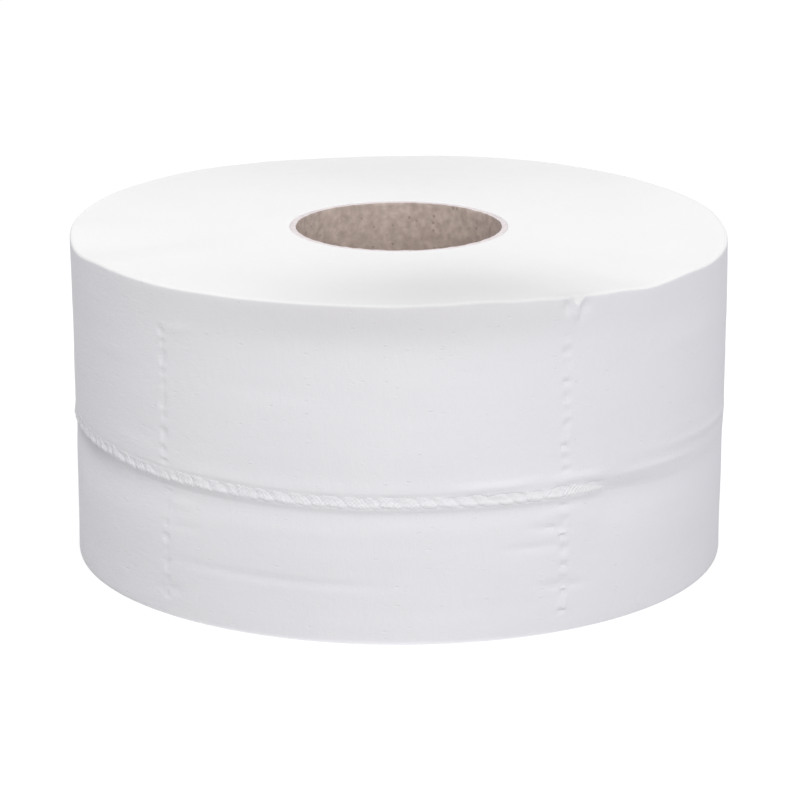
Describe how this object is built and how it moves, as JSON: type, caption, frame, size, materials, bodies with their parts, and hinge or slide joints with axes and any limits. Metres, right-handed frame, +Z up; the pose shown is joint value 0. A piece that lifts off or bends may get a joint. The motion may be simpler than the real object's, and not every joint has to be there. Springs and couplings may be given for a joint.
{
  "type": "toilet paper roll",
  "caption": "Large-format toilet paper roll for a wall dispenser: wound two-ply white tissue on an open brown cardboard core, standing on one end.",
  "frame": {"origin": "middle of the end that the roll stands on", "axes": "+Z up along the roll's axis, the side that faces -Y is the front of the picture"},
  "size_m": [0.1899, 0.1897, 0.095],
  "materials": {
    "tissue": "matte",
    "cardboard": "matte"
  },
  "bodies": {
    "root": {"paper_roll": "tissue", "core_tube": "cardboard"}
  },
  "joints": []
}
